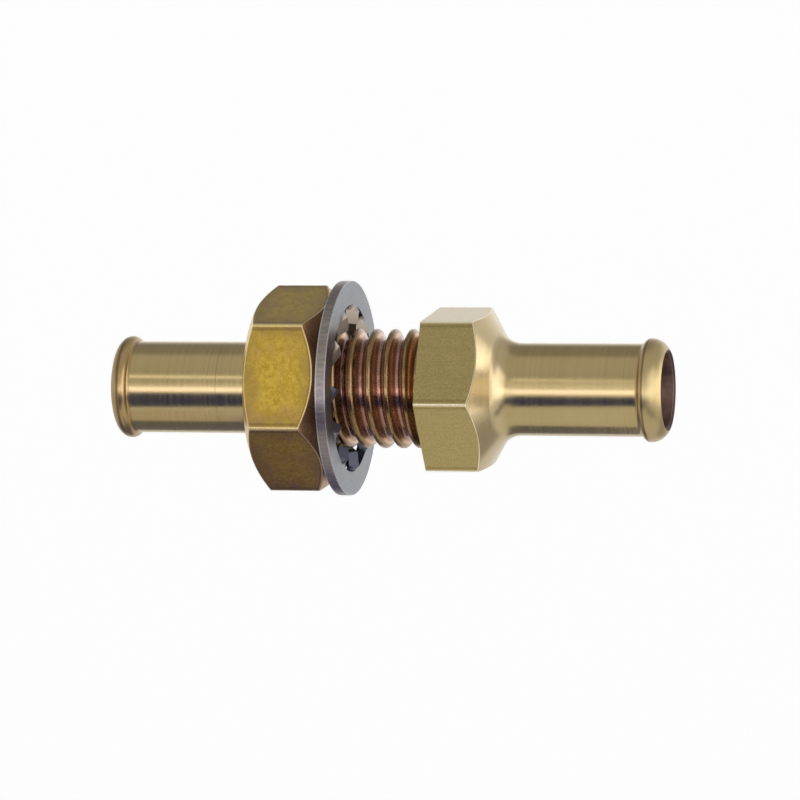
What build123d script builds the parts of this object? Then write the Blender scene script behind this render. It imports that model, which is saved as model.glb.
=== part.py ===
"""Straight bulkhead hose connector: turned body, lock nut and tooth lock washer.

Millimetres. The bore runs along X, the panel shoulder of the hexagon lies at X = 0,
the right hose tail points to +X and Z is up.
"""
import os
from math import asin, cos, degrees, pi, radians, sin, sqrt, tan

from build123d import *

# Hose tails
BORE_DIAMETER = 7.94
MOUTH_CHAMFER = 0.23
TAIL_WALL = 0.9
LEFT_TAIL_LENGTH = 16.53
RIGHT_TAIL_LENGTH = 18.8
BEAD_RISE = 0.55
BEAD_BACK_RADIUS = 0.7
BEAD_FOOT_RADIUS = 0.3
LEFT_NOSE_LENGTH = 1.15
RIGHT_NOSE_LENGTH = 1.73
END_LAND = 0.1

# Thread of body and nut
THREAD_PITCH = 25.4 / 13
THREAD_LENGTH = 17.6
THREAD_ENGAGEMENT = 0.8
CREST_SHARE = 0.12
ROOT_SHARE = 0.12
FLANK_ROUNDING = 0.5
CREST_START = 115
RUNOUT_LENGTH = 1.3
RUNOUT_LAND = 0.6
THREAD_CLEARANCE = 0.18
BEAD_PASS_CLEARANCE = 0.08

# Hexagon of the body
SHOULDER_WIDTH = 1.64
HEX_LENGTH = 6.35
HEX_CHAMFER_ANGLE = 30
HEX_EDGE_RADIUS = 0.15
NECK_RADIUS = 2.5

# Lock nut
NUT_WALL = 3.23
NUT_THICKNESS = 7.94
NUT_TURN = 12.6
NUT_FRONT_CHAMFER_ANGLE = 42
NUT_BACK_CHAMFER_ANGLE = 29
NUT_CHAMFER_WIDTH = 0.37
NUT_EDGE_RADIUS = 0.25
NUT_COUNTERSINK = 0.2

# Tooth lock washer
WASHER_THICKNESS = 1.07
WASHER_RING_WIDTH = 2.5
TOOTH_COUNT = 11
TOOTH_LENGTH = 2.05
TOOTH_NECK = 0.6
TOOTH_ROOT_WIDTH = 2.0
TOOTH_TIP_WIDTH = 1.6
TOOTH_TWIST = 30
TOOTH_START = 13.5
TOOTH_CLEARANCE = 0.5

# Rest place of washer and nut on the thread
PANEL_GAP = 8.8
SEAT_CLEARANCE = 0.05

# Radii, from the bore outwards
bore_radius = BORE_DIAMETER / 2
mouth_radius = bore_radius + MOUTH_CHAMFER
tail_radius = bore_radius + TAIL_WALL
bead_radius = tail_radius + BEAD_RISE
nut_bore_radius = bead_radius + BEAD_PASS_CLEARANCE
thread_height = 5 / 8 * THREAD_PITCH * sqrt(3) / 2
thread_radius = nut_bore_radius + THREAD_ENGAGEMENT
thread_root_radius = thread_radius - thread_height
groove_radius = thread_radius + THREAD_CLEARANCE
hex_flat_radius = thread_radius + SHOULDER_WIDTH
nut_flat_radius = thread_radius + NUT_WALL
tooth_tip_radius = thread_radius + TOOTH_CLEARANCE
tooth_root_radius = tooth_tip_radius + TOOTH_LENGTH
washer_radius = tooth_root_radius + WASHER_RING_WIDTH

# Places along the bore
left_end = -THREAD_LENGTH - LEFT_TAIL_LENGTH
right_end = HEX_LENGTH + RIGHT_TAIL_LENGTH
tooth_rise = (TOOTH_ROOT_WIDTH * sin(radians(TOOTH_TWIST))
              + WASHER_THICKNESS * (cos(radians(TOOTH_TWIST)) - 1)) / 2
washer_middle = -PANEL_GAP - WASHER_THICKNESS / 2
nut_face = washer_middle - WASHER_THICKNESS / 2 - tooth_rise - SEAT_CLEARANCE
nut_middle = nut_face - NUT_THICKNESS / 2


def turned(edges):
    """Solid of revolution about X from an outline of (x, radius) edges that starts and ends on the axis."""
    return revolve(make_face(edges), Axis.X)


def turned_points(*points):
    """Solid of revolution about X from straight lines through (x, radius) points."""
    return turned(Polyline(*points, close=True).edges())


def arc(centre, radius, start, end):
    """Arc about a centre between two directions in degrees."""
    return CenterArc(centre, radius, start, end - start)


def hex_prism(flat_radius, edge_radius, length):
    """Hexagon bar along +X from X = 0, with flats facing up and down and softened edges."""
    outline = RegularPolygon(flat_radius, 6, major_radius=False)
    outline = fillet(outline.vertices(), edge_radius)
    return extrude(Plane.YZ * outline, length)


def bead_edges(end, nose_length):
    """Outline of a beaded hose end at X = end, from the foot of the bead round the nose to the axis."""
    land_radius = mouth_radius + END_LAND
    drop = bead_radius - land_radius
    nose_radius = (nose_length ** 2 + drop ** 2) / (2 * drop)
    nose_end = degrees(asin((bead_radius - nose_radius - land_radius) / nose_radius))
    crown = end - nose_length
    back_centre = (crown, bead_radius - BEAD_BACK_RADIUS)
    lift = tail_radius + BEAD_FOOT_RADIUS - back_centre[1]
    reach = sqrt((BEAD_BACK_RADIUS + BEAD_FOOT_RADIUS) ** 2 - lift ** 2)
    foot_centre = (crown - reach, tail_radius + BEAD_FOOT_RADIUS)
    lean = degrees(asin(lift / (BEAD_BACK_RADIUS + BEAD_FOOT_RADIUS)))
    edges = [arc(foot_centre, BEAD_FOOT_RADIUS, -90, -lean),
             arc(back_centre, BEAD_BACK_RADIUS, 180 - lean, 90),
             arc((crown, bead_radius - nose_radius), nose_radius, 90, -nose_end),
             Line((end, land_radius), (end, 0))]
    return (foot_centre[0], tail_radius), edges


def thread_section(clearance):
    """Cross-section of the thread: crest and root arcs joined by rounded flanks, all larger by a clearance."""
    crest_radius = thread_radius + clearance
    root_radius = thread_root_radius + clearance
    crest = 180 * CREST_SHARE
    root = 180 - 180 * ROOT_SHARE

    def flank(side, steps=8):
        points = []
        for step in range(steps + 1):
            share = step / steps
            radius = crest_radius - thread_height * (share - FLANK_ROUNDING * sin(2 * pi * share) / (2 * pi))
            angle = radians(side * (crest + (root - crest) * share))
            points.append((radius * cos(angle), radius * sin(angle)))
        return Spline(points)

    return make_face([arc((0, 0), crest_radius, -crest, crest), flank(1),
                      arc((0, 0), root_radius, root, 360 - root), flank(-1)])


def thread_bar(section, start, length):
    """Right-hand threaded bar from X = start, whose crest follows the one helix that body and nut share."""
    guide = Helix(pitch=THREAD_PITCH, height=length, radius=thread_radius)
    bar = sweep(section, path=Line((0, 0, 0), (0, 0, length)), binormal=guide)
    turn = CREST_START + 360 * start / THREAD_PITCH
    return Pos(start, 0, 0) * Rot(turn, 0, 0) * (Plane.YZ * bar)


def make_body():
    """One-piece body: left tail, thread, chamfered hexagon, right tail and the bore through all of them."""
    corner_radius = hex_flat_radius / cos(pi / 6)
    slope = tan(radians(HEX_CHAMFER_ANGLE))
    neck_lean = radians(90 - HEX_CHAMFER_ANGLE)
    cone_foot = (HEX_LENGTH + (hex_flat_radius - tail_radius - NECK_RADIUS * (1 - cos(neck_lean))) * slope,
                 tail_radius + NECK_RADIUS * (1 - cos(neck_lean)))
    neck_centre = (cone_foot[0] + NECK_RADIUS * sin(neck_lean), tail_radius + NECK_RADIUS)
    cone_top = (HEX_LENGTH - (corner_radius - hex_flat_radius) * slope, corner_radius)

    foot, bead = bead_edges(right_end, RIGHT_NOSE_LENGTH)
    right = turned([Line((0, 0), (0, corner_radius)),
                    Line((0, corner_radius), cone_top),
                    Line(cone_top, cone_foot),
                    arc(neck_centre, NECK_RADIUS, 270 - degrees(neck_lean), 270),
                    Line((neck_centre[0], tail_radius), foot),
                    *bead,
                    Line((right_end, 0), (0, 0))])
    right = right & hex_prism(hex_flat_radius, HEX_EDGE_RADIUS, right_end)

    inside = HEX_LENGTH / 4
    foot, bead = bead_edges(-left_end, LEFT_NOSE_LENGTH)
    left = turned([Line((-inside, 0), (-inside, tail_radius)),
                   Line((-inside, tail_radius), foot),
                   *bead,
                   Line((-left_end, 0), (-inside, 0))])
    left = mirror(left, Plane.YZ)

    thread = thread_bar(thread_section(0), -THREAD_LENGTH, THREAD_LENGTH + inside)
    lead = 2 * thread_height
    thread = thread & turned_points((-THREAD_LENGTH, 0), (-THREAD_LENGTH, thread_root_radius),
                                    (-THREAD_LENGTH + lead, thread_root_radius + lead),
                                    (inside, thread_root_radius + lead), (inside, 0))

    runout_foot = -RUNOUT_LAND - RUNOUT_LENGTH * (thread_radius - tail_radius) / thread_height
    runout = turned_points((runout_foot, 0), (runout_foot, tail_radius), (-RUNOUT_LAND, thread_radius),
                           (inside, thread_radius), (inside, 0))

    bore = turned_points((left_end, 0), (left_end, mouth_radius), (left_end + MOUTH_CHAMFER, bore_radius),
                         (right_end - MOUTH_CHAMFER, bore_radius), (right_end, mouth_radius), (right_end, 0))
    return right + left + thread + runout - bore


def make_nut():
    """Hexagon jam nut with the mating thread, chamfered more steeply on the face towards the washer."""
    half = NUT_THICKNESS / 2
    corner_radius = nut_flat_radius / cos(pi / 6)
    face_radius = nut_flat_radius - NUT_CHAMFER_WIDTH
    front = half - (corner_radius - face_radius) * tan(radians(NUT_FRONT_CHAMFER_ANGLE))
    back = (corner_radius - face_radius) * tan(radians(NUT_BACK_CHAMFER_ANGLE)) - half
    blank = turned_points((-half, 0), (-half, face_radius), (back, corner_radius),
                          (front, corner_radius), (half, face_radius), (half, 0))
    blank = blank & (Pos(-half, 0, 0) * hex_prism(nut_flat_radius, NUT_EDGE_RADIUS, NUT_THICKNESS))
    blank = Pos(nut_middle, 0, 0) * Rot(NUT_TURN, 0, 0) * blank

    spare = THREAD_PITCH
    tap = thread_bar(thread_section(THREAD_CLEARANCE) + Circle(nut_bore_radius),
                     nut_middle - half - spare, NUT_THICKNESS + 2 * spare)
    mouth = groove_radius + NUT_COUNTERSINK
    sink = turned_points((half - mouth, 0), (half, mouth), (half, 0))
    sinks = Pos(nut_middle, 0, 0) * (sink + mirror(sink, Plane.YZ))
    return blank - tap - sinks


def tooth_section(radius, width, twist):
    """Cross-section of a tooth at a radius along +Z, twisted about that radius."""
    return Pos(0, 0, radius) * Rot(0, 0, -twist) * Rectangle(WASHER_THICKNESS, width)


def make_washer():
    """Flat ring with twisted teeth that point inwards."""
    half = WASHER_THICKNESS / 2
    ring = turned_points((-half, tooth_root_radius), (-half, washer_radius),
                         (half, washer_radius), (half, tooth_root_radius))
    neck_radius = tooth_root_radius - TOOTH_NECK
    tooth = loft([tooth_section(tooth_root_radius + TOOTH_NECK, TOOTH_ROOT_WIDTH, 0),
                  tooth_section(tooth_root_radius, TOOTH_ROOT_WIDTH, 0),
                  tooth_section(neck_radius, TOOTH_ROOT_WIDTH, TOOTH_TWIST),
                  tooth_section(tooth_tip_radius, TOOTH_TIP_WIDTH, TOOTH_TWIST)], ruled=True)
    teeth = [Rot(360 * place / TOOTH_COUNT - TOOTH_START, 0, 0) * tooth for place in range(TOOTH_COUNT)]
    return Pos(washer_middle, 0, 0) * (ring + teeth)


def main():
    os.makedirs("parts", exist_ok=True)
    pieces = {"fitting_body": make_body(), "lock_nut": make_nut(), "tooth_lock_washer": make_washer()}
    for name, piece in pieces.items():
        export_step(piece, f"parts/{name}.step")


main()
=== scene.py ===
"""Looks of the straight bulkhead hose connector: brass and zinc materials, soft studio light, camera."""

import math
from types import SimpleNamespace

import bpy
from mathutils import Matrix, Vector


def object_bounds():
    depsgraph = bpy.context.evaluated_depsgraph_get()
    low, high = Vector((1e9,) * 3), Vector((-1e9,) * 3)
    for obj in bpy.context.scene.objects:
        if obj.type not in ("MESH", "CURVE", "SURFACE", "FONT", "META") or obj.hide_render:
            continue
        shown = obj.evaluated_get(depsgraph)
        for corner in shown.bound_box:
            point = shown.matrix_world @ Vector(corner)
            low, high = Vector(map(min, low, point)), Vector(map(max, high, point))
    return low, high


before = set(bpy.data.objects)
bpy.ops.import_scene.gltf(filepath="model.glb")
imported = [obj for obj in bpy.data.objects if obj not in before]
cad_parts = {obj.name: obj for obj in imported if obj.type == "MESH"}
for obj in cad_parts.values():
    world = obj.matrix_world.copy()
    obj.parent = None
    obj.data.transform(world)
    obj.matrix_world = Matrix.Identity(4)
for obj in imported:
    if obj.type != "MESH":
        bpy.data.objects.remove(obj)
cad_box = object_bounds()

# Camera, fitted to the photograph; lengths in metres, angles in degrees
CAMERA_AZIMUTH = 14.27
CAMERA_ELEVATION = 10.5
CAMERA_ROLL = -2.21
CAMERA_DISTANCE = 0.487
CAMERA_AIM = Vector((-0.00365, 0.0, -0.00124))
CAMERA_NEAR = 0.01
SENSOR = 36.0
FOCAL_SHARE = 4614 / 800

# Floor
FLOOR_DROP = 0.07
FLOOR_SIZE = 4.0
FLOOR_GLOW = 0.30
FLOOR_ROUGHNESS = 0.9
FLOOR_GLOSS = 0.1
PAPER_TONES = ((0.93, 0.93, 0.93, 1), (0.96, 0.96, 0.96, 1))

# Dome: pairs of height and light, and the direction round which it dims, with the cosines of that zone
DOME_LEVELS = ((0.0, 1.22), (0.21, 1.22), (0.38, 0.66), (0.60, 0.66), (0.85, 0.78), (1.0, 0.78))
DIM_AZIMUTH = 203.5
DIM_ELEVATION = 52.6
DIM_ZONE = (0.86, 0.96)
DIM_LEVEL = 0.58

# Colours of the lamps
WHITE = (1, 1, 1)
COOL_WHITE = (0.98, 1.0, 1.14)
VIOLET_WHITE = (1.0, 0.965, 1.28)

# Sizes of the body that its finishes follow
HEX_END = 0.00635
HEX_FLAT = 0.00794
HEX_CORNER = 0.00914
HEX_SLOPE = 0.577
THREAD_START = -0.0176
THREAD_ROOT = 0.00524
THREAD_CREST = 0.0063
BORE_RADIUS = 0.00397
LEFT_BEAD = -0.0320
LEFT_CREST = -0.0330
RIGHT_BEAD = 0.0225
RIGHT_CREST = 0.0231

# Sizes of nut and washer
NUT_MIDDLE = -0.01432
NUT_HALF = 0.00397
NUT_FLAT = 0.00953
NUT_CORNER = 0.01096
NUT_FACE = 0.00916
NUT_FRONT_SLOPE = 0.900
NUT_BACK_SLOPE = 0.554
WASHER_MIDDLE = -0.009335
WASHER_HALF = 0.000535
WASHER_RIM = 0.01135
WASHER_INSIDE = 0.00885
nut_front = NUT_MIDDLE + NUT_HALF
nut_back = NUT_MIDDLE - NUT_HALF

# Zones of the body: one border or two, and half the width over which a border fades
HEX_ZONE = (0.0, HEX_END - 0.0001, 0.0002)
HEX_SIDE = (HEX_FLAT - 0.00015, 0.00005)
HEX_WEAR = (HEX_CORNER - 0.00005, 0.00003)
# Thin line on the flats beside the corners, which is darkened
HEX_DARK_LINE = (HEX_CORNER - 0.00026, HEX_CORNER - 0.00014, 0.00004)
CONE_START = (-0.00005, 0.00003)
CONE_END = (0.0005, 0.0003)
CONE_WEAR = (-0.00013, -0.00003, 0.00003)
NECK_ZONE = (0.0072, 0.0098, 0.0005)
THREAD_ZONE = (THREAD_START, -0.0001, 0.0001)
BORE_ZONE = (BORE_RADIUS + 0.00026, 0.00004)
BORE_LIP = (BORE_RADIUS + 0.00004, 0.00002)
LEFT_BEAD_ZONE = (LEFT_BEAD, 0.0001)
LEFT_RIM = (LEFT_CREST, LEFT_BEAD, 0.0001)
LEFT_CREASE = (LEFT_CREST - 0.00040, LEFT_CREST - 0.00010, 0.00006)
RIGHT_BEAD_ZONE = (RIGHT_BEAD, 0.0001)
RIGHT_RIM = (RIGHT_BEAD, RIGHT_CREST, 0.0001)
RIGHT_CREASE = (RIGHT_CREST + 0.00008, RIGHT_CREST + 0.00030, 0.00006)
RING_MARK = (-0.02255, -0.02245, 0.00004)

# Zones of nut and washer
NUT_SIDE = (NUT_FLAT - 0.00008, 0.00004)
NUT_WEAR = (NUT_CORNER - 0.00007, 0.00003)
# Thin line on the nut's flats beside the corners, which is darkened
NUT_CORNER_DARK_LINE = (NUT_CORNER - 0.00026, NUT_CORNER - 0.00014, 0.00003)
NUT_CHAMFER = (-0.00008, 0.00004)
NUT_ARC_WEAR = (-0.00014, -0.00004, 0.00003)
# Thin line beside the chamfer arcs, which is darkened
NUT_ARC_DARK_LINE = (-0.00032, -0.00020, 0.00004)
NUT_INNER_FACE = (nut_front - 0.00007, 0.00003)
RIM_WALL = (WASHER_RIM - 0.00004, 0.00002)
RIM_EDGE = (WASHER_RIM - 0.00010, 0.00004)
FACE_EDGE = (WASHER_HALF - 0.00010, 0.00004)
TEETH_ZONE = (WASHER_INSIDE - 0.0002, 0.0001)

# Gradients: where a change of tone starts and ends
THREAD_DEPTH = (THREAD_CREST - 0.0001, THREAD_ROOT)
FLANK_DEPTH = (0.05, 0.45)
ROOT_DEPTH = (0.50, 0.95)
NUT_CORNER_SHADE = (NUT_FLAT + 0.0003, NUT_CORNER)
NUT_FACE_SHADE = (0.0012, 0.0040)
# Heights over which the teeth go from painted shade to painted light
TEETH_SHADE_TO_LIGHT = (0.002, 0.006)
NOISE_WIDE = (0.3, 0.7)
NOISE_NARROW = (0.35, 0.65)

# Noises: scale, detail and roughness, and how far those drawn out along the bore are stretched
TARNISH = (260.0, 4.0, 0.6)
BODY_GRAIN = (6500.0, 2.0, 0.6)
TOOL_RINGS = (5200.0, 4.0, 0.7)
BAR_LINES = (6500.0, 4.0, 0.7)
BAR_STRETCH = 0.03
NUT_CLOUD = (500.0, 3.0, 0.6)
NUT_MOTTLE = (2000.0, 4.0, 0.7)
NUT_GRAIN = (5200.0, 3.0, 0.65)
ZINC_CLOUD = (420.0, 4.0, 0.6)
ZINC_GRAIN = (6000.0, 3.0, 0.65)
SHEAR_MARKS = (3600.0, 3.0, 0.6)
SHEAR_STRETCH = 0.2
PAPER_GRAIN = (900.0, 2.0, 0.5)

# Shares in which two noises are added: tarnish and rings, bar lines and grain
STREAK_SHARES = (0.6, 0.4)
SPECK_SHARES = (0.3, 0.7)

# Colours of the body, darker and lighter where there are two
BRASS = ((0.360, 0.276, 0.124, 1), (0.448, 0.344, 0.169, 1))
FLAT_BRASS = ((0.315, 0.241, 0.091, 1), (0.400, 0.310, 0.134, 1))
# Cone painted paler than the rest, a painted highlight
CONE_HIGHLIGHT_BRASS = (0.47, 0.372, 0.205, 1)
CREST_BRASS = (0.238, 0.142, 0.068, 1)
FLANK_BRASS = (0.58, 0.345, 0.195, 1)
ROOT_BRASS = (0.285, 0.162, 0.120, 1)
BORE_BRASS = ((0.125, 0.080, 0.078, 1), (0.26, 0.155, 0.115, 1))
# Lip of the mouth painted dark, a painted reflection of dark surroundings
LIP_DARK_REFLECTION = (0.085, 0.056, 0.064, 1)

# Tints of the body: the share of a colour that a zone takes, and the colour
LEFT_BEAD_TINT = (0.6, (0.27, 0.18, 0.08, 1))
# Painted highlight on the bead rims and painted shade in the creases beside them
BEAD_RIM_HIGHLIGHT_TINT = (0.7, (0.39, 0.265, 0.115, 1))
BEAD_CREASE_SHADE_TINT = (0.75, (0.13, 0.080, 0.045, 1))
RING_MARK_TINT = (0.45, (0.20, 0.14, 0.07, 1))
# Darkening of the thin line beside the hexagon's corners
HEX_DARK_LINE_TINT = (0.4, (0.17, 0.115, 0.045, 1))
HEX_WEAR_TINT = (0.85, (0.83, 0.72, 0.49, 1))

# Colours and tints of the nut, and how far cloud and grain bring in their colours
NUT_YELLOW = ((0.34, 0.218, 0.025, 1), (0.51, 0.350, 0.054, 1))
# Painted shade towards the corners and end faces of the nut
NUT_BORDER_SHADE = (0.235, 0.150, 0.058, 1)
NUT_BORDER_SHADE_SHARE = (0.45, 0.95)
NUT_BROWN = (0.32, 0.190, 0.085, 1)
NUT_BROWN_SHARE = (0.45, 0.70, 0.0, 0.35)
NUT_SPECK = (0.25, 0.160, 0.030, 1)
NUT_SPECK_SHARE = (0.45, 0.75, 0.0, 0.35)
NUT_FRONT_BRASS = (0.42, 0.225, 0.110, 1)
NUT_BACK_BRASS = (0.60, 0.46, 0.20, 1)
# Painted shade: the inner face that the washer shades
NUT_INNER_PAINTED_SHADE = (0.11, 0.066, 0.036, 1)
# Darkening of the thin lines beside the nut's corners and chamfer arcs
NUT_DARK_LINE_TINT = (0.5, (0.14, 0.080, 0.030, 1))
NUT_WEAR_TINT = (0.8, (0.66, 0.52, 0.23, 1))

# Colours and tint of the washer; the teeth carry painted shade low down and painted light high up
ZINC = ((0.192, 0.202, 0.224, 1), (0.258, 0.266, 0.286, 1))
SHEARED_STEEL = ((0.182, 0.157, 0.144, 1), (0.264, 0.225, 0.194, 1))
# Teeth: painted shade on the lower ones, painted highlight on the upper ones
TOOTH_SHADE_AND_LIGHT = ((0.12, 0.125, 0.15, 1), (0.38, 0.325, 0.265, 1))
RIM_EDGE_TINT = (0.8, (0.42, 0.415, 0.415, 1))

# Roughness of each finish, lowest and highest where it varies
TURNED_ROUGHNESS = (0.18, 0.26)
FLAT_ROUGHNESS = (0.20, 0.29)
THREAD_ROUGHNESS = (0.18, 0.28)
NECK_ROUGHNESS = 0.27
BEAD_ROUGHNESS = 0.36
RIM_ROUGHNESS = 0.30
BORE_ROUGHNESS = 0.65
NUT_ROUGHNESS = (0.26, 0.38)
ZINC_ROUGHNESS = (0.28, 0.44)
TOOTH_ROUGHNESS = 0.58

# Bumps: strength and depth; and the turned finish's spread of gloss
BODY_BUMP = (0.26, 0.00002)
BODY_GRAIN_BUMP = (0.10, 0.00002)
NUT_BUMP = (0.14, 0.00006)
NUT_GRAIN_BUMP = (0.22, 0.00003)
ZINC_BUMP = (0.15, 0.00006)
ZINC_GRAIN_BUMP = (0.25, 0.00003)
TURNED_SPREAD = 0.5
QUARTER_TURN = 0.25


def direction(azimuth, elevation):
    """Unit vector from the object towards an azimuth, measured as the camera's, and an elevation."""
    a, e = math.radians(azimuth), math.radians(elevation)
    return Vector((math.sin(a) * math.cos(e), -math.cos(a) * math.cos(e), math.sin(e)))


class Nodes:
    """Short calls for building one node tree."""

    def __init__(self, tree):
        self.tree = tree
        tree.nodes.clear()

    def add(self, kind, **values):
        node = self.tree.nodes.new(kind)
        for name, value in values.items():
            setattr(node, name, value)
        return node

    def put(self, socket, value):
        if isinstance(value, bpy.types.NodeSocket):
            self.tree.links.new(value, socket)
        elif value is not None:
            socket.default_value = value

    def math(self, operation, a, b=None, clamp=False):
        node = self.add("ShaderNodeMath", operation=operation, use_clamp=clamp)
        self.put(node.inputs[0], a)
        self.put(node.inputs[1], b)
        return node.outputs[0]

    def times(self, a, b):
        return self.math("MULTIPLY", a, b)

    def either(self, a, b):
        return self.math("MAXIMUM", a, b)

    def weigh(self, shares, a, b):
        return self.math("ADD", self.times(a, shares[0]), self.times(b, shares[1]))

    def span(self, value, low, high, to_low=0.0, to_high=1.0):
        """Smooth change from one value to another while the given value goes from low to high."""
        node = self.add("ShaderNodeMapRange", interpolation_type="SMOOTHSTEP", clamp=True)
        for socket, given in zip(node.inputs, (value, low, high, to_low, to_high)):
            self.put(socket, given)
        return node.outputs[0]

    def past(self, value, border, fade):
        return self.span(value, border - fade, border + fade)

    def before(self, value, border, fade):
        return self.span(value, border + fade, border - fade)

    def inside(self, value, low, high, fade):
        return self.math("SUBTRACT", self.past(value, low, fade), self.past(value, high, fade), clamp=True)

    def off(self, value, middle):
        return self.math("ABSOLUTE", self.math("SUBTRACT", value, middle))

    def mix(self, share, a, b):
        node = self.add("ShaderNodeMix", data_type="RGBA", clamp_factor=True)
        self.put(node.inputs[0], share)
        self.put(node.inputs[6], a)
        self.put(node.inputs[7], b)
        return node.outputs[2]

    def tint(self, color, zone, share, tone):
        return self.mix(self.times(zone, share), color, tone)

    def blend(self, share, a, b):
        node = self.add("ShaderNodeMix", data_type="FLOAT", clamp_factor=True)
        self.put(node.inputs[0], share)
        self.put(node.inputs[2], a)
        self.put(node.inputs[3], b)
        return node.outputs[0]

    def vector(self, x, y, z):
        node = self.add("ShaderNodeCombineXYZ")
        for socket, value in zip(node.inputs, (x, y, z)):
            self.put(socket, value)
        return node.outputs[0]

    def noise(self, vector, scale, detail, rough):
        node = self.add("ShaderNodeTexNoise", noise_dimensions="3D")
        self.put(node.inputs["Vector"], vector)
        self.put(node.inputs["Scale"], scale)
        self.put(node.inputs["Detail"], detail)
        self.put(node.inputs["Roughness"], rough)
        return node.outputs["Fac"]

    def bump(self, height, strength, distance, normal=None):
        node = self.add("ShaderNodeBump")
        self.put(node.inputs["Strength"], strength)
        self.put(node.inputs["Distance"], distance)
        self.put(node.inputs["Height"], height)
        self.put(node.inputs["Normal"], normal)
        return node.outputs["Normal"]


class Metal(Nodes):
    """A metal material with the object's coordinates at hand: x along the bore, r from it, in metres."""

    def __init__(self, name):
        self.material = bpy.data.materials.new(name)
        self.material.use_nodes = True
        super().__init__(self.material.node_tree)
        self.place = self.add("ShaderNodeTexCoord").outputs["Object"]
        parts = self.add("ShaderNodeSeparateXYZ")
        self.put(parts.inputs[0], self.place)
        self.x, self.y, self.z = parts.outputs
        self.r = self.length(self.vector(0.0, self.y, self.z))

    def length(self, vector):
        node = self.add("ShaderNodeVectorMath", operation="LENGTH")
        self.put(node.inputs[0], vector)
        return node.outputs["Value"]

    def turned(self, scale, detail, rough):
        """Noise that changes along the bore and with the radius only, as a lathe tool leaves it."""
        return self.noise(self.vector(self.x, self.r, 0.0), scale, detail, rough)

    def drawn(self, stretch, scale, detail, rough):
        """Noise drawn out in lines along the bore."""
        slow = self.times(self.x, stretch)
        return self.noise(self.vector(slow, self.y, self.z), scale, detail, rough)

    def past_cone(self, end, radius, slope, side=1.0):
        """How far a point lies past a chamfer's cone, which has the given radius at the given end."""
        along = self.times(self.math("SUBTRACT", self.x, end), side)
        rise = self.times(self.math("SUBTRACT", self.r, radius), slope)
        return self.math("ADD", along, rise)

    def finish(self, color, roughness, normal, turned=0.0):
        """Metal shader; a turned finish spreads its gloss along the bore, square to the tool marks."""
        shader = self.add("ShaderNodeBsdfPrincipled")
        shader.inputs["Metallic"].default_value = 1.0
        self.put(shader.inputs["Base Color"], color)
        self.put(shader.inputs["Roughness"], roughness)
        self.put(shader.inputs["Normal"], normal)
        if turned:
            around = self.add("ShaderNodeTangent", direction_type="RADIAL", axis="X")
            self.put(shader.inputs["Tangent"], around.outputs[0])
            shader.inputs["Anisotropic"].default_value = turned
            shader.inputs["Anisotropic Rotation"].default_value = QUARTER_TURN
        out = self.add("ShaderNodeOutputMaterial")
        self.put(out.inputs["Surface"], shader.outputs[0])
        return self.material


def body_zones(m):
    """Where each finish of the body lies, from 0 to 1."""
    cone = m.past_cone(HEX_END, HEX_FLAT, HEX_SLOPE)
    hexagon = m.times(m.inside(m.x, *HEX_ZONE), m.past(m.r, *HEX_SIDE))
    flat = m.times(hexagon, m.before(cone, *CONE_START))
    worn = m.either(m.past(m.r, *HEX_WEAR), m.inside(cone, *CONE_WEAR))
    left_bead = m.before(m.x, *LEFT_BEAD_ZONE)
    return SimpleNamespace(
        flat=flat,
        dark_line=m.times(flat, m.inside(m.r, *HEX_DARK_LINE)),
        worn=m.times(worn, hexagon),
        cone=m.times(m.past(cone, *CONE_START), m.before(cone, *CONE_END)),
        neck=m.inside(m.x, *NECK_ZONE),
        thread=m.inside(m.x, *THREAD_ZONE),
        left_bead=left_bead,
        bead=m.either(left_bead, m.past(m.x, *RIGHT_BEAD_ZONE)),
        rim=m.either(m.inside(m.x, *LEFT_RIM), m.inside(m.x, *RIGHT_RIM)),
        crease=m.either(m.inside(m.x, *LEFT_CREASE), m.inside(m.x, *RIGHT_CREASE)),
        ring_mark=m.inside(m.x, *RING_MARK),
        bore=m.before(m.r, *BORE_ZONE),
        lip=m.past(m.r, *BORE_LIP))


def tail_color(m, zone, tarnish, rings):
    """Turned brass with tool rings; beads with a painted highlight on the rim and painted shade in the
    crease, the left one browner.
    """
    streak = m.weigh(STREAK_SHARES, tarnish, m.span(rings, *NOISE_WIDE))
    color = m.mix(streak, *BRASS)
    color = m.tint(color, zone.left_bead, *LEFT_BEAD_TINT)
    # Painted highlight on the bead rims, painted shade in their creases
    color = m.tint(color, zone.rim, *BEAD_RIM_HIGHLIGHT_TINT)
    color = m.tint(color, zone.crease, *BEAD_CREASE_SHADE_TINT)
    return m.tint(color, zone.ring_mark, *RING_MARK_TINT)


def hexagon_color(m, zone, color, speck):
    """Drawn and grained flats beside a cone painted paler as a highlight, with a dark line beside each
    corner and worn edges.
    """
    # The cone painted paler, a painted highlight
    color = m.mix(zone.cone, color, CONE_HIGHLIGHT_BRASS)
    color = m.mix(zone.flat, color, m.mix(m.span(speck, *NOISE_NARROW), *FLAT_BRASS))
    # Darkens a thin line on each flat beside the corners
    color = m.tint(color, zone.dark_line, *HEX_DARK_LINE_TINT)
    return m.tint(color, zone.worn, *HEX_WEAR_TINT)


def thread_color(m):
    """Amber crests, coppery flanks and duller roots."""
    depth = m.span(m.r, *THREAD_DEPTH)
    color = m.mix(m.span(depth, *FLANK_DEPTH), CREST_BRASS, FLANK_BRASS)
    return m.mix(m.span(depth, *ROOT_DEPTH), color, ROOT_BRASS)


def bore_color(m, zone, tarnish):
    """Stained brown; the lip of the mouth painted darkest, a painted dark reflection."""
    color = m.mix(m.span(tarnish, *NOISE_NARROW), *BORE_BRASS)
    # The lip painted dark as a painted reflection
    return m.mix(zone.lip, color, LIP_DARK_REFLECTION)


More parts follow.
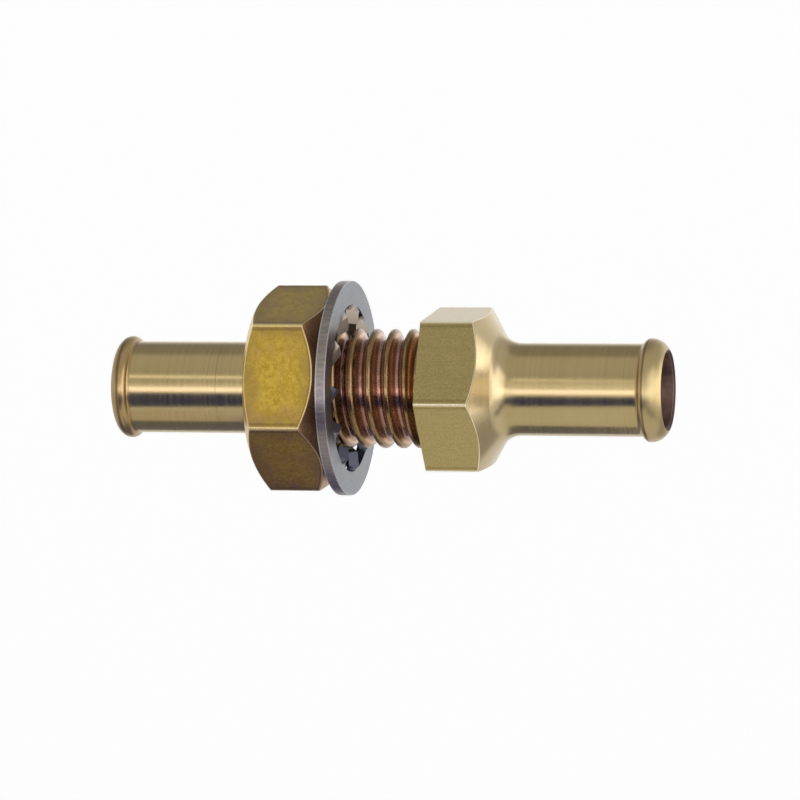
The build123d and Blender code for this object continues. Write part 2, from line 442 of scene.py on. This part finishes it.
def body_roughness(m, zone, rings, speck, grain):
    turned = m.span(rings, *NOISE_WIDE, *TURNED_ROUGHNESS)
    roughness = m.blend(zone.flat, turned, m.span(speck, *NOISE_NARROW, *FLAT_ROUGHNESS))
    roughness = m.blend(zone.thread, roughness, m.span(grain, *NOISE_WIDE, *THREAD_ROUGHNESS))
    roughness = m.blend(zone.neck, roughness, NECK_ROUGHNESS)
    roughness = m.blend(zone.bead, roughness, m.blend(zone.rim, BEAD_ROUGHNESS, RIM_ROUGHNESS))
    return m.blend(zone.bore, roughness, BORE_ROUGHNESS)


def body_brass():
    """Satin turned brass; the hexagon is drawn bar with worn edges, the thread browner, the bore dull."""
    m = Metal("body_brass")
    zone = body_zones(m)
    tarnish = m.noise(m.place, *TARNISH)
    grain = m.noise(m.place, *BODY_GRAIN)
    rings = m.turned(*TOOL_RINGS)
    speck = m.weigh(SPECK_SHARES, m.drawn(BAR_STRETCH, *BAR_LINES), grain)
    color = tail_color(m, zone, tarnish, rings)
    color = hexagon_color(m, zone, color, speck)
    color = m.mix(zone.thread, color, thread_color(m))
    color = m.mix(zone.bore, color, bore_color(m, zone, tarnish))
    roughness = body_roughness(m, zone, rings, speck, grain)
    relief = m.bump(m.blend(zone.flat, rings, speck), *BODY_BUMP)
    normal = m.bump(grain, *BODY_GRAIN_BUMP, relief)
    return m.finish(color, roughness, normal, turned=TURNED_SPREAD)


def nut_field_color(m, cloud, mottle, grain):
    """Mottled yellow with painted shade towards the corners and faces, with brown clouds and specks."""
    # Painted shade, in patches: darker towards the corners and the end faces
    border = m.either(m.span(m.r, *NUT_CORNER_SHADE), m.span(m.off(m.x, NUT_MIDDLE), *NUT_FACE_SHADE))
    border = m.times(border, m.span(cloud, *NOISE_WIDE, *NUT_BORDER_SHADE_SHARE))
    color = m.mix(m.span(mottle, *NOISE_WIDE), *NUT_YELLOW)
    color = m.mix(border, color, NUT_BORDER_SHADE)
    color = m.mix(m.span(cloud, *NUT_BROWN_SHARE), color, NUT_BROWN)
    return m.mix(m.span(grain, *NUT_SPECK_SHARE), color, NUT_SPECK)


def nut_edge_color(m, color):
    """Chamfers in their own tones, the inner face painted dark as shade, dark lines beside the edges,
    rubbed edges.
    """
    front = m.past_cone(nut_front, NUT_FACE, NUT_FRONT_SLOPE)
    back = m.past_cone(nut_back, NUT_FACE, NUT_BACK_SLOPE, side=-1.0)
    # Thin lines beside the chamfer arcs and the corners, darkened below
    dark_line = m.either(m.inside(front, *NUT_ARC_DARK_LINE), m.inside(m.r, *NUT_CORNER_DARK_LINE))
    dark_line = m.times(dark_line, m.past(m.r, *NUT_SIDE))
    rubbed = m.either(m.past(m.r, *NUT_WEAR), m.inside(front, *NUT_ARC_WEAR))
    color = m.tint(color, dark_line, *NUT_DARK_LINE_TINT)
    color = m.mix(m.past(front, *NUT_CHAMFER), color, NUT_FRONT_BRASS)
    color = m.mix(m.past(back, *NUT_CHAMFER), color, NUT_BACK_BRASS)
    # The inner face painted dark as the washer's shade
    color = m.mix(m.past(m.x, *NUT_INNER_FACE), color, NUT_INNER_PAINTED_SHADE)
    return m.tint(color, rubbed, *NUT_WEAR_TINT)


def nut_brass():
    """Yellower mottled brass, redder on the front chamfer, rubbed at the edges."""
    m = Metal("nut_brass")
    cloud = m.noise(m.place, *NUT_CLOUD)
    mottle = m.noise(m.place, *NUT_MOTTLE)
    grain = m.noise(m.place, *NUT_GRAIN)
    color = nut_edge_color(m, nut_field_color(m, cloud, mottle, grain))
    roughness = m.span(grain, *NOISE_WIDE, *NUT_ROUGHNESS)
    normal = m.bump(grain, *NUT_GRAIN_BUMP, m.bump(mottle, *NUT_BUMP))
    return m.finish(color, roughness, normal)


def washer_steel():
    """Dull grey zinc with fine shear marks on the stamped rim; upper teeth painted light, lower ones
    painted shade.
    """
    m = Metal("washer_steel")
    cloud = m.noise(m.place, *ZINC_CLOUD)
    grain = m.noise(m.place, *ZINC_GRAIN)
    shear = m.drawn(SHEAR_STRETCH, *SHEAR_MARKS)
    rim = m.past(m.r, *RIM_WALL)
    edge = m.times(m.past(m.r, *RIM_EDGE), m.past(m.off(m.x, WASHER_MIDDLE), *FACE_EDGE))
    teeth = m.before(m.r, *TEETH_ZONE)
    color = m.mix(cloud, *ZINC)
    color = m.mix(rim, color, m.mix(m.span(shear, *NOISE_WIDE), *SHEARED_STEEL))
    color = m.tint(color, edge, *RIM_EDGE_TINT)
    # Painted light and shade on the teeth: dark low down, light high up
    color = m.mix(teeth, color, m.mix(m.span(m.z, *TEETH_SHADE_TO_LIGHT), *TOOTH_SHADE_AND_LIGHT))
    roughness = m.blend(teeth, m.span(grain, *NOISE_WIDE, *ZINC_ROUGHNESS), TOOTH_ROUGHNESS)
    relief = m.bump(m.blend(rim, cloud, shear), *ZINC_BUMP)
    normal = m.bump(grain, *ZINC_GRAIN_BUMP, relief)
    return m.finish(color, roughness, normal)


def pale_floor(level):
    """Large pale floor below the object, with a hardly visible paper grain."""
    bpy.ops.mesh.primitive_plane_add(size=FLOOR_SIZE, location=(0, 0, level))
    floor = bpy.context.object
    floor.name = "floor"
    material = bpy.data.materials.new("pale_floor")
    material.use_nodes = True
    n = Nodes(material.node_tree)
    place = n.add("ShaderNodeTexCoord").outputs["Object"]
    shader = n.add("ShaderNodeBsdfPrincipled")
    n.put(shader.inputs["Base Color"], n.mix(n.noise(place, *PAPER_GRAIN), *PAPER_TONES))
    n.put(shader.inputs["Roughness"], FLOOR_ROUGHNESS)
    n.put(shader.inputs["Specular IOR Level"], FLOOR_GLOSS)
    n.put(shader.inputs["Emission Color"], (*WHITE, 1))
    rays = n.add("ShaderNodeLightPath").outputs
    seen = n.either(rays["Is Camera Ray"], rays["Is Glossy Ray"])
    seen = n.either(seen, rays["Is Transmission Ray"])
    n.put(shader.inputs["Emission Strength"], n.times(seen, FLOOR_GLOW))
    out = n.add("ShaderNodeOutputMaterial")
    n.put(out.inputs["Surface"], shader.outputs[0])
    floor.data.materials.append(material)


def dome_ramp(n, height):
    """Grey of the dome at a height, as a colour."""
    ramp = n.add("ShaderNodeValToRGB")
    n.put(ramp.inputs[0], height)
    steps = ramp.color_ramp.elements
    while len(steps) < len(DOME_LEVELS):
        steps.new(0.5)
    for step, (position, level) in zip(steps, DOME_LEVELS):
        step.position = position
        step.color = (level, level, level, 1)
    return ramp.outputs[0]


def soft_dome():
    """Soft light from all round: white at the horizon, greyer higher up and darkest high behind."""
    world = bpy.data.worlds.new("soft_dome")
    bpy.context.scene.world = world
    world.use_nodes = True
    n = Nodes(world.node_tree)
    place = n.add("ShaderNodeTexCoord").outputs["Generated"]
    parts = n.add("ShaderNodeSeparateXYZ")
    n.put(parts.inputs[0], place)
    toward = n.add("ShaderNodeVectorMath", operation="DOT_PRODUCT")
    n.put(toward.inputs[0], place)
    n.put(toward.inputs[1], direction(DIM_AZIMUTH, DIM_ELEVATION))
    back = n.add("ShaderNodeBackground")
    n.put(back.inputs["Color"], dome_ramp(n, parts.outputs[2]))
    n.put(back.inputs["Strength"], n.span(toward.outputs["Value"], *DIM_ZONE, 1.0, DIM_LEVEL))
    out = n.add("ShaderNodeOutputWorld")
    n.put(out.inputs["Surface"], back.outputs[0])


def softbox(name, azimuth, elevation, distance, width, height, radiance, color=WHITE):
    """Rectangular soft light of a given radiance that faces the object and leaves the floor alone."""
    light = bpy.data.lights.new(name, "AREA")
    light.shape = "RECTANGLE"
    light.size = width
    light.size_y = height
    light.energy = radiance * math.pi * width * height
    light.color = color
    lamp = bpy.data.objects.new(name, light)
    toward = direction(azimuth, elevation)
    facing = toward.to_track_quat("Z", "Y").to_matrix().to_4x4()
    lamp.matrix_world = Matrix.Translation(toward * distance) @ facing
    lamp.visible_camera = False
    lamp.visible_diffuse = False
    bpy.context.scene.collection.objects.link(lamp)


def card_mesh(name, distance, stations):
    """Strip of faces along the bore; a station is a place on it and the strip's two angles there."""
    corners, faces = [], []
    for x, *angles in stations:
        for angle in angles:
            a = math.radians(angle)
            corners.append((x, -distance * math.cos(a), distance * math.sin(a)))
    for i in range(0, 2 * len(stations) - 2, 2):
        faces.append((i, i + 1, i + 3, i + 2))
    mesh = bpy.data.meshes.new(name)
    mesh.from_pydata(corners, [], faces)
    return mesh


def card(name, radiance, distance, stations):
    """Glowing card, a painted reflection that only reflections show, strung along the bore at a distance
    from it.
    """
    mesh = card_mesh(name, distance, stations)
    sheet = bpy.data.objects.new(name, mesh)
    bpy.context.scene.collection.objects.link(sheet)
    material = bpy.data.materials.new(name)
    material.use_nodes = True
    n = Nodes(material.node_tree)
    shader = n.add("ShaderNodeEmission")
    n.put(shader.inputs["Color"], (*radiance, 1))
    out = n.add("ShaderNodeOutputMaterial")
    n.put(out.inputs["Surface"], shader.outputs[0])
    mesh.materials.append(material)
    sheet.visible_camera = False
    sheet.visible_shadow = False
    sheet.visible_diffuse = False


def studio_lamps():
    """Strips that draw the bright lines along the tubes, and boxes that light beads, cone and washer."""
    softbox("front_strip", azimuth=2, elevation=4.5, distance=0.5, width=0.80, height=0.10, radiance=1.75,
            color=VIOLET_WHITE)
    softbox("left_upper_strip", azimuth=-29, elevation=33.5, distance=0.5, width=0.22, height=0.05,
            radiance=1.6)
    softbox("right_upper_strip", azimuth=-3, elevation=24, distance=0.5, width=0.20, height=0.16,
            radiance=0.6)
    softbox("side_key", azimuth=55, elevation=10, distance=0.4, width=0.40, height=0.50, radiance=1.5,
            color=COOL_WHITE)
    softbox("right_box", azimuth=106, elevation=-2, distance=0.3, width=0.26, height=0.22, radiance=1.65)


def studio_cards():
    """Cards that draw the dark and golden bands along the tubes and shade the undersides."""
    card("front_card", radiance=(0.068, 0.088, 0.26), distance=0.10,
         stations=((-0.09, -2.5, -46), (0.02, -7.5, -26), (0.06, -9.5, -29)))
    card("neck_card", radiance=(0.20, 0.19, 0.22), distance=0.05,
         stations=((0.034, -12, -34), (0.048, -28, -50), (0.065, -47, -68), (0.092, -73, -90)))
    card("left_card", radiance=(0.85, 0.81, 0.78), distance=0.055,
         stations=((-0.09, -48, -82), (-0.034, -48, -82)))
    card("under_card", radiance=(0.25, 0.26, 0.34), distance=0.055,
         stations=((-0.08, -82, -128), (-0.034, -82, -128), (0.015, -90, -126)))
    card("nut_card", radiance=(0.21, 0.165, 0.46), distance=0.045,
         stations=((-0.0290, -60, -112), (-0.0185, -60, -112)))
    card("right_card", radiance=(0.50, 0.48, 0.46), distance=0.055,
         stations=((0.035, -112, -158), (0.10, -112, -158)))


def photo_camera():
    """Camera at the photograph's place, angle and focal length."""
    camera = bpy.data.cameras.new("photo_camera")
    camera.sensor_width = SENSOR
    camera.sensor_fit = "HORIZONTAL"
    camera.lens = SENSOR * FOCAL_SHARE
    camera.clip_start = CAMERA_NEAR
    back = direction(CAMERA_AZIMUTH, CAMERA_ELEVATION)
    right = Vector((-back.y, back.x, 0)).normalized()
    up = back.cross(right)
    roll = math.radians(CAMERA_ROLL)
    side = math.cos(roll) * right + math.sin(roll) * up
    top = -math.sin(roll) * right + math.cos(roll) * up
    place = CAMERA_AIM + CAMERA_DISTANCE * back
    stand = bpy.data.objects.new("photo_camera", camera)
    stand.matrix_world = Matrix.Translation(place) @ Matrix((side, top, back)).transposed().to_4x4()
    bpy.context.scene.collection.objects.link(stand)
    bpy.context.scene.camera = stand


for node, material in (("fitting_body", body_brass()), ("lock_nut", nut_brass()),
                       ("tooth_lock_washer", washer_steel())):
    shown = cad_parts[node].data
    shown.materials.clear()
    shown.materials.append(material)

bpy.context.scene.view_settings.view_transform = "Standard"
pale_floor(cad_box[0].z - FLOOR_DROP)
soft_dome()
studio_lamps()
studio_cards()
photo_camera()
